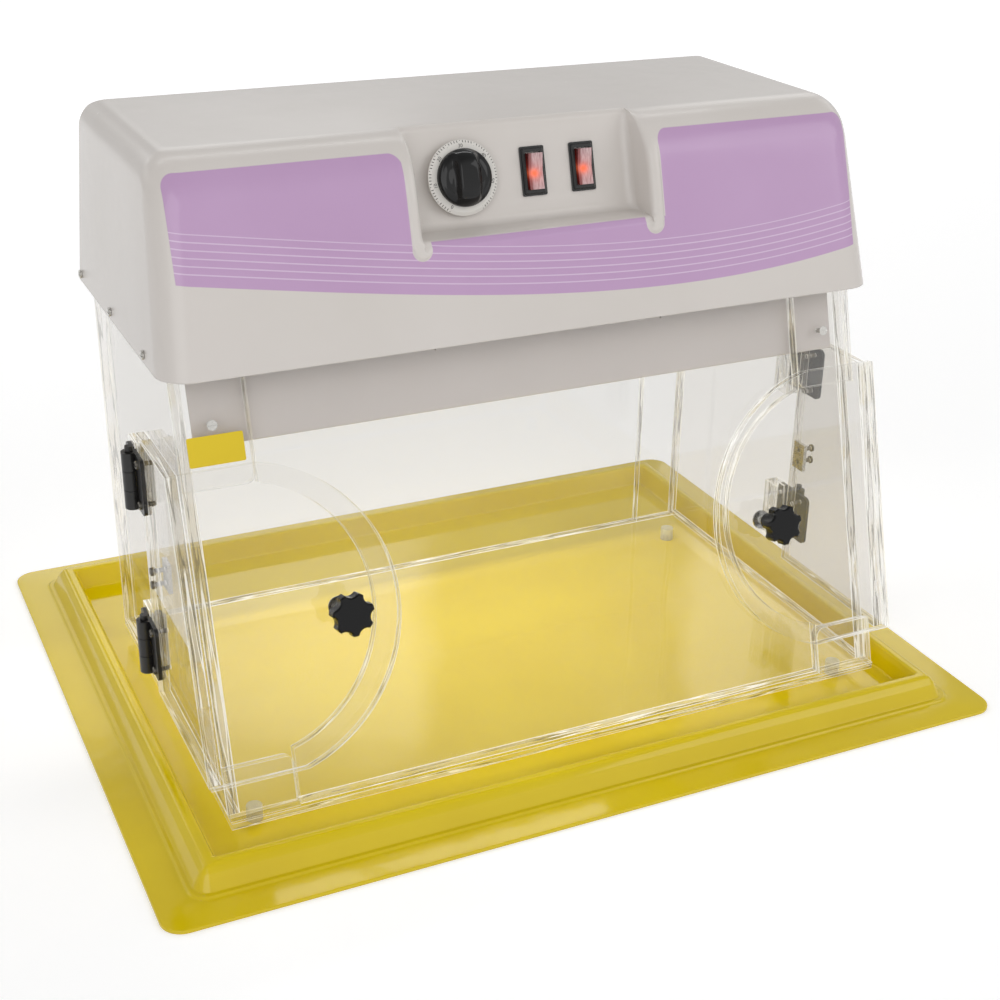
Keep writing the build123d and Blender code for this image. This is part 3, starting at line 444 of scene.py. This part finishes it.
def hood_rings():
    """Level outlines of the hood from its rim to its top, each as (x, depth, height) points.

    The front of each outline is a mix of the outer line and the pocket's own line, by the column's
    share. The pocket's line goes back over a ledge with a lip of 4 mm and a hollow of 7 mm, then up
    the pocket's face and over a lip of 6 mm at the top.
    """
    columns, share, bead = across_front()
    turn = np.linspace(tilt, pi / 2, 20)[1:]
    lower = np.array([340, 341, 352, 372, 392, 401, 403.6, 404.2, 404.9, 405.8, 406.8, 408, 409.6, 411.3, 413])
    ledge = np.linspace(413, 424, 18)[1:]
    rising = np.array([430, 438, 446, 454.0])
    rounding = hood_top - front_round * (1 - np.sin(turn))
    heights = np.concatenate([lower, ledge, rising, rounding])
    face = lambda z: lean * z + pocket_back / cos(tilt)
    t = np.linspace(0, pi / 2, 6)[1:]
    before, behind = front_line(pocket_ledge), face(pocket_ledge)
    lip = np.stack([before + 4 * (1 - np.cos(t)), pocket_ledge - 4 + 4 * np.sin(t)], -1)
    flat = np.stack([np.linspace(before + 8, behind - 8, 4), np.full(4, float(pocket_ledge))], -1)
    t = np.linspace(0, pi / 2, 8)
    hollow = np.stack([behind - 7 + 7 * np.sin(t), pocket_ledge + 7 - 7 * np.cos(t)], -1)
    inner_low = np.stack([front_line(lower), lower], -1)
    upper = np.concatenate([rising, rounding])
    bent = np.clip(upper - hood_top + 6, 0, 6)
    inner_up = np.stack([face(np.minimum(upper, hood_top - 6)) + 6 - np.sqrt(36 - bent**2), upper], -1)
    inner = np.concatenate([inner_low, lip, flat, hollow, inner_up])
    rings = []
    for height, (deep, high) in zip(heights, inner):
        rise = (height - hood_rim) / (hood_top - hood_rim)
        bend = drawn_in(height)
        side = 310.6 - 11.7 * rise - bend  # half its width, a little narrower towards the top
        back = 360 - 9 * rise - bend
        front = float(front_line(height))
        front_corner = max(25 - bend, 6)
        back_corner = max(12 - bend, 4)
        from_spine = np.hypot(abs(columns) - bead_side, min(height - bead_end, 0))
        merge = np.clip((height - 408.5) / 4, 0, 1) * np.clip((bead_side - abs(columns)) / 3, 0, 1)
        foot = np.clip((8.4 - from_spine) / 2.8, 0, 1) * (1 - merge)
        fade = max(1 - 1.4 * max(rise - 0.72, 0) / 0.28, 0)
        swell = 2 * foot**2 * (3 - 2 * foot) if height < 413.5 else bead * fade
        turns = np.linspace(0, pi / 2, 10)
        arc_x, arc_y = np.sin(turns), 1 - np.cos(turns)
        row_y = front * (1 - share) + deep * share - swell * cos(tilt)
        row_z = height * (1 - share) + high * share + swell * sin(tilt)
        outer = 130 + (abs(columns) - 130) * (side - front_corner - 134) / 132
        x = np.where(abs(columns) > 130, np.sign(columns) * outer, columns)
        corner_x = side - front_corner + front_corner * arc_x[1:]
        corner_y = front + front_corner * arc_y[1:]
        back_x = side - back_corner + back_corner * np.cos(turns)
        back_y = back - back_corner + back_corner * np.sin(turns)
        middle = np.linspace(0.25, 0.75, 3)
        side_y = corner_y[-1] + (back_y[0] - corner_y[-1]) * middle
        right_x = np.concatenate([[side - front_corner], corner_x, np.full(3, side), back_x])
        right_y = np.concatenate([[front], corner_y, side_y, back_y])
        outline_x = np.concatenate([x, right_x, -right_x[::-1]])
        outline_y = np.concatenate([row_y, right_y, right_y[::-1]])
        outline_z = np.concatenate([row_z, np.full(2 * len(right_x), height)])
        rings.append(np.stack([outline_x, outline_y - foot_depth, outline_z + foot_rise], -1))
    return rings


def hood_finish():
    """Cream plastic under a printed film.

    The film covers a union of round-cornered blocks, less a round end below each bead. Its lower edge
    is a cubic through nine points, and pale lines follow that edge at every 5.5 mm up to 36 mm.
    """
    material, start, place = new_finish("hood_cream")
    parts = [start.node("SeparateXYZ", {}, {0: place}, out=axis) for axis in range(3)]
    x, y, z = parts[0] * 1000 + 300, parts[1] * 1000 + foot_depth, parts[2] * 1000 - foot_rise

    def block(x0, x1, z0, z1, radius):
        """Distance outside a round-cornered rectangle, negative within it."""
        side = (abs(x - (x0 + x1) / 2) - ((x1 - x0) / 2 - radius)).at_least(0.0)
        rise = (abs(z - (z0 + z1) / 2) - ((z1 - z0) / 2 - radius)).at_least(0.0)
        return (side * side + rise * rise).root() - radius

    left = block(9.5, 191.5, 300, 481, 10)
    right = block(410.5, 592, 300, 481, 10)
    below = block(100, 500, 300, 416.6, 0.5)
    gap = left.at_most(right).at_most(below)
    side = abs(x - 300) - bead_side
    drop = (z - bead_end).at_most(0.0)
    gap = gap.at_least(8.2 - (side * side + drop * drop).root())
    sweep_x = [9, 26, 90, 177, 301, 438, 491, 556, 592]
    sweep_z = [407.5, 404.5, 396, 383, 368, 363, 366, 371, 375]
    cubic, square, slope, base = [float(v) for v in np.polyfit(sweep_x, sweep_z, 3)]
    edge = ((x * cubic + square) * x + slope) * x + base
    rise = z - edge
    film = (1 - gap.over(0, 0.5)) * rise.over(0, 0.5) * (1 - y.over(190, 1))
    lines = start.math("FRACT", rise / 5.5)
    thin = 1 - abs(lines - 0.5).over(0.08, 0.05)
    fine = thin * (1 - rise.over(36, 0.5)) * rise.over(5, 0.5)
    drift = noise(place, 9, 3)
    cream = blend(drift.over(0.5, 0.5), srgb(214, 208, 203), srgb(209, 203, 197))
    purple = blend(drift.over(0.5, 0.6), srgb(193, 159, 196), srgb(187, 152, 190))
    purple = blend(fine * 0.6, purple, srgb(226, 208, 228))
    marks = noise(place, 60, 6, 0.65)
    bump = start.node("Bump", {}, {"Strength": 0.35, "Distance": 0.00006, "Height": noise(place, 700, 3) + film * 3})
    return cover(material, start.node("BsdfPrincipled", {}, {
        "Base Color": blend(film, cream, purple),
        "Roughness": (marks * 0.1 + 0.2 - film * 0.06).clamp(),
        "IOR": 1.5,
        "Normal": bump,
    }))


rings = hood_rings()
points, faces = skin(rings, caps=False)
count = len(rings[0])
faces.append(list(range(len(points) - count, len(points))))
hood_cream = hood_finish()
hood = build("hood_shell", points, faces, [hood_cream], "cabinet", 40)
wall = hood.modifiers.new("wall", "SOLIDIFY")
wall.thickness = 0.003
wall.offset = -1
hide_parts("hood")

# Small parts of the hood: two cream pads under its rim, the timer's grey case, and the black moulded
# housings of the switches and the power inlet, snapped into its sheet.
dress(plastic("pad_cream", srgb(222, 217, 200), srgb(217, 211, 194), 0.4), "rim_pads")
dress(plastic("case_grey", srgb(90, 90, 92), srgb(84, 84, 86), 0.5), "timer_body")
dress(plastic("switch_black", srgb(30, 30, 30), srgb(25, 25, 25), 0.25), "light_switch_housing",
      "power_switch_housing", "power_inlet")


# Timer: a white moulded skirt printed with a scale, and a black moulded knob with a grip bar between
# two scoops. Both are pushed on the clockwork's shaft, which comes through the pocket's face.
timer_x, controls_up, skirt_top = -51.5, 472, 9.0


def on_panel(points):
    """Points (x, up the slope, out of the panel) in the pocket, moved to the cabinet's frame in mm."""
    x, up, out = np.moveaxis(np.asarray(points, float), -1, 0)
    out = out - pocket_back
    y = up * sin(tilt) - out * cos(tilt) - foot_depth
    return np.stack([x, y, up * cos(tilt) + out * sin(tilt) + foot_rise], -1)


def timer_grip():
    """Knob as a height over its disc: a flat crown rounded at the rim, less two scoops beside a middle bar.

    The crown falls with the second and the fifth power of the radius. Each scoop is a smooth step of
    4.6 mm that starts 6.5 mm from the middle line and fades out towards the rim.
    """
    rim = 22.3
    radius = np.concatenate([np.linspace(1.5, 21.5, 26), [22.0, rim]])
    turn = np.linspace(0, 2 * pi, 96, endpoint=False)
    r, t = radius[:, None], turn[None, :]
    x, y = r * np.cos(t), r * np.sin(t)
    height = 14.8 - 9 * (r / rim) ** 5 - 2.2 * (r / rim) ** 2
    scoop = np.clip((abs(x) - 6.5) / 5, 0, 1)
    height = height - 4.6 * scoop**2 * (3 - 2 * scoop) * np.clip((21.5 - r) / 6, 0, 1) ** 0.7
    rings = np.stack([x, y, height], -1)
    foot = np.stack([rim * np.cos(turn), rim * np.sin(turn), 0 * turn], -1)
    rings = np.concatenate([foot[None], rings[::-1]])
    points, faces = skin(list(rings + (timer_x, controls_up, skirt_top)))
    return on_panel(points), faces


timer_black = plastic("timer_black", srgb(15, 15, 15), srgb(10, 10, 11), 0.08, ior=1.4)
grip = build("timer_grip", *timer_grip(), [timer_black], "timer", 50)
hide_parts("timer_knob")
dress(plastic("dial_white", srgb(222, 219, 213), srgb(217, 213, 207), 0.2), "timer_dial")


def dial_marks():
    """Printed scale: 61 short bars on the skirt's bevel, every fifth one longer, and plain numbers inside.

    Each bar is a thin box between two radii that follows the bevel: 0.5 mm down for each mm beyond 26.5.
    The scale runs clockwise from 240 degrees, 5 degrees to a minute.
    """
    count = np.arange(61)
    outer = np.full(61, 28.6)
    turn = radians(240) - np.radians(5.0) * count
    inner = np.where(count % 5 == 0, 26.0, 26.9)
    corner_r = np.stack([inner, inner, outer, outer], -1)
    corner_w = np.array([-0.28, 0.28, 0.28, -0.28])
    rise = 9.05 - np.clip(corner_r - 26.5, 0, 3) * 0.5
    x = corner_r * np.cos(turn)[:, None] - corner_w * np.sin(turn)[:, None]
    y = corner_r * np.sin(turn)[:, None] + corner_w * np.cos(turn)[:, None]
    top = np.stack([x, y, rise], -1)
    points = np.concatenate([top, top - (0, 0, 0.12)], 1)
    box_faces = np.array([(0, 1, 2, 3), (7, 6, 5, 4), (0, 4, 5, 1), (1, 5, 6, 2), (2, 6, 7, 3), (3, 7, 4, 0)])
    faces = (box_faces[None] + 8 * count[:, None, None]).reshape(-1, 4).tolist()
    clouds, used = [points.reshape(-1, 3)], points.size // 3
    for value in range(0, 60, 10):
        text = bpy.data.curves.new("digits", "FONT")
        text.body, text.size, text.extrude = str(value), 4.0, 0.03
        text.align_x, text.align_y, text.resolution_u = "CENTER", "CENTER", 3
        holder = bpy.data.objects.new("digits", text)
        bpy.context.collection.objects.link(holder)
        shape = bpy.data.meshes.new_from_object(holder.evaluated_get(bpy.context.evaluated_depsgraph_get()))
        flat = np.empty(len(shape.vertices) * 3)
        shape.vertices.foreach_get("co", flat)
        angle = radians(240 - 5 * value)
        spin = np.array([[sin(angle), cos(angle), 0], [-cos(angle), sin(angle), 0], [0, 0, 1]])
        clouds.append(flat.reshape(-1, 3) @ spin.T + (24.3 * cos(angle), 24.3 * sin(angle), 9.03))
        faces += [[vertex + used for vertex in polygon.vertices] for polygon in shape.polygons]
        used += len(shape.vertices)
        bpy.data.objects.remove(holder)
        bpy.data.curves.remove(text)
    return on_panel(np.concatenate(clouds) + (timer_x, controls_up, 0)), faces


print_grey = plastic("print_grey", srgb(52, 50, 50), srgb(44, 42, 42), 0.5)
build("dial_marks", *dial_marks(), [print_grey], "timer")

# Switches: each rocker is a lit lens of pale red acrylic on pivots in its housing. It is brightest over
# the lamp behind its middle, where emission and a painted red glow in its colour stand for the lamp's
# light, and painted shade darkens its side walls and a strip along its left edge.
lamp_spots, lens_middles, between_lenses = (10.5, 54.2), (12.0, 55.7), 33.0
lens, start, place = new_finish("rocker_lens")
parts = [start.node("SeparateXYZ", {}, {0: place}, out=axis) * 1000 for axis in range(3)]
near = [abs(parts[0] - spot) for spot in lamp_spots]
across = near[0].at_most(near[1])
rise = parts[2] - (controls_up * cos(tilt) + foot_rise - 2.0)
spread = (across / 4.0) * (across / 4.0) + (rise / 3.3) * (rise / 3.3)
hot = start.math("POWER", 2.718, spread * -1.0)
halo = start.math("POWER", 2.718, spread * -0.12)
facing = start.node("SeparateXYZ", {}, {0: start.node("TexCoord", {}, {}, out=1)}, out=0)
# Painted shade: the lens's side walls, picked out by the way they face, turn dark red.
painted_wall_shade = abs(facing).over(0.6, 0.2)
ribs = noise(place.node("Mapping", {}, {"Vector": place, "Scale": (1.0, 0.2, 0.2)}), 900, 2)
pale = blend(ribs.over(0.5, 0.4), srgb(214, 190, 190), srgb(168, 132, 134))
# Painted glow: a red halo in the colour round each lamp spot.
pale = blend(halo * 0.25, pale, srgb(206, 90, 78))
on_left = parts[0].math("LESS_THAN", parts[0], between_lenses)
left_place, right_place = [parts[0] - middle for middle in lens_middles]
local = on_left.node("Mix", {"data_type": "FLOAT"}, {0: on_left, 2: right_place, 3: left_place})
# Painted shade along each lens's left edge, where the housing shades it, lighter over the lamp.
shaded = (1 - local.over(-3.6, 1.6)) * (1 - hot * 0.7)
body = blend(shaded * 0.85, pale, srgb(110, 34, 32))
body = blend(painted_wall_shade, body, srgb(70, 16, 16))
# Painted glow: the colour turns deep red over the lamp, and the emission below stands for the lamp's light.
body = blend(hot, body, srgb(150, 40, 30))
fire = blend(hot, blend(halo * 0.25, (0.0, 0.0, 0.0), srgb(190, 50, 34)), srgb(255, 120, 70))
dress(cover(lens, start.node("BsdfPrincipled", {}, {
    "Base Color": body, "Roughness": 0.12, "Emission Color": fire, "Emission Strength": 0.9})),
    "light_rocker", "power_rocker")

# Room: a plain white floor that keeps the soft shadow, under a pale dome with soft lamps. A glow that
# only seen and mirrored rays meet makes the floor white, more so far away.
room, start, place = new_finish("floor_white")
see = start.node("LightPath", {}, {}, out=0)
glossy = start.node("LightPath", {}, {}, out=3)
through = start.node("LightPath", {}, {}, out=4)
seen = see.at_least(glossy).at_least(through)
paint = start.node("BsdfDiffuse", {}, {"Color": (0.82, 0.82, 0.82)})
far = start.node("SeparateXYZ", {}, {0: place}, out=1).over(1.4, 2.4)
around = start.node("VectorMath", {"operation": "LENGTH"}, {0: place}, out=1).over(2.6, 2.0)
far = far.at_least(around)
lift = blend(far, (0.33, 0.33, 0.33), (0.56, 0.56, 0.56))
glow = start.node("Emission", {}, {"Color": blend(seen, (0, 0, 0), lift), "Strength": 1.0})
cover(room, start.node("AddShader", {}, {0: paint, 1: glow}))
grid = bpy.data.meshes.new("floor")
reach = 12.0
grid.from_pydata([(-reach, -reach, 0), (reach, -reach, 0), (reach, reach, 0), (-reach, reach, 0)], [], [(0, 1, 2, 3)])
grid.materials.append(room)
floor = bpy.data.objects.new("floor", grid)
bpy.context.collection.objects.link(floor)

# The dome's light: pale all round, brighter from the front, with a row of bright panels behind the
# object that only show as reflections. The camera itself sees plain white.
world = bpy.data.worlds.new("studio")
bpy.context.scene.world = world
world.use_nodes = True
world.node_tree.nodes.clear()
sky = Term(world.node_tree)
see = sky.node("LightPath", {}, {}, out=0)
facing = [sky.node("SeparateXYZ", {}, {0: sky.node("TexCoord", {}, {}, out=0)}, out=axis) for axis in range(3)]
dome = blend(facing[2].over(0.5, 1.0), (0.66, 0.66, 0.66), (0.42, 0.42, 0.42))
front = (facing[1] * -1.0).over(0.45, 0.7) * (1 - facing[2].over(0.75, 0.3))
gaps = sky.math("FRACT", facing[0] / facing[1] * 1.7 + 0.2)
panels = gaps.over(0.3, 0.04) * (1 - gaps.over(0.9, 0.04)) * facing[1].over(0.3, 0.1)
panels = panels * facing[2].over(0.3, 0.03) * (1 - facing[2].over(0.56, 0.03))
backdrop = sky.node("Background", {}, {"Color": dome, "Strength": 1.0})
front_glow = sky.node("Background", {}, {"Color": blend(front, (0, 0, 0), (0.38, 0.38, 0.38)), "Strength": 1.0})
panel_glow = sky.node("Background", {}, {"Color": blend(panels, (0, 0, 0), (1.1, 1.1, 1.1)), "Strength": 1.0})
backdrop = sky.node("AddShader", {}, {0: backdrop, 1: sky.node("AddShader", {}, {0: front_glow, 1: panel_glow})})
white = sky.node("Background", {}, {"Color": (1.0, 1.0, 1.0), "Strength": 1.0})
mixed = sky.node("MixShader", {}, {0: see, 1: backdrop, 2: white})
output = world.node_tree.nodes.new("ShaderNodeOutputWorld")
world.node_tree.links.new(mixed.socket, output.inputs["Surface"])


def softbox(name, spot, aim, size, watts):
    """Large area lamp at a spot, facing an aim point."""
    lamp = bpy.data.lights.new(name, "AREA")
    lamp.shape = "RECTANGLE"
    lamp.size, lamp.size_y = size
    lamp.energy = watts
    box = bpy.data.objects.new(name, lamp)
    bpy.context.collection.objects.link(box)
    spot, aim = np.array(spot), np.array(aim)
    back = (spot - aim) / np.linalg.norm(spot - aim)
    right = np.cross((0, 1, 0.01), back)
    right /= np.linalg.norm(right)
    up = np.cross(back, right)
    turn = np.eye(4)
    turn[:3, 0], turn[:3, 1], turn[:3, 2], turn[:3, 3] = right, up, back, spot
    box.matrix_world = Matrix(turn.tolist())
    return box


# Soft lamps in front and above, and one inside the cabinet for the light that its lit tube gives.
softbox("key_softbox", (-1.5, -2.3, 1.3), (0, 0, 0.2), (2.2, 1.6), 12)
softbox("fill_softbox", (1.6, -1.4, 1.5), (0, 0, 0.25), (1.2, 1.2), 6)
softbox("strip_softbox", (0.2, 0.9, 2.3), (0, 0, 0.25), (2.4, 0.08), 5)
tube_light = softbox("tube_softbox", (0, 0.03, 0.324), (0, 0.03, 0), (0.50, 0.18), 1.15)
tube_light.visible_glossy = tube_light.visible_camera = tube_light.visible_transmission = False

# Camera: the photograph's viewpoint, solved from the cabinet's straight edges.
eye = (-0.5567, -1.2286, 0.7832)
yaw, pitch, roll = radians(25.3575), radians(25.25), radians(0.881)
look = np.array((sin(yaw) * cos(pitch), cos(yaw) * cos(pitch), -sin(pitch)))
level = np.array((cos(yaw), -sin(yaw), 0))
above = np.array((sin(yaw) * sin(pitch), cos(yaw) * sin(pitch), cos(pitch)))
pose = np.eye(4)
pose[:3, 0] = level * cos(roll) + above * sin(roll)
pose[:3, 1] = above * cos(roll) - level * sin(roll)
pose[:3, 2] = -look
pose[:3, 3] = eye
camera = bpy.data.objects.new("camera", bpy.data.cameras.new("camera"))
camera.data.sensor_width = 36
camera.data.lens = 58.78
camera.data.clip_end = 60
camera.matrix_world = Matrix(pose.tolist())
bpy.context.collection.objects.link(camera)
bpy.context.scene.camera = camera
bpy.context.scene.view_settings.view_transform = "Standard"
bpy.context.scene.cycles.max_bounces = 24
bpy.context.scene.cycles.transmission_bounces = 24
bpy.context.scene.cycles.transparent_max_bounces = 24
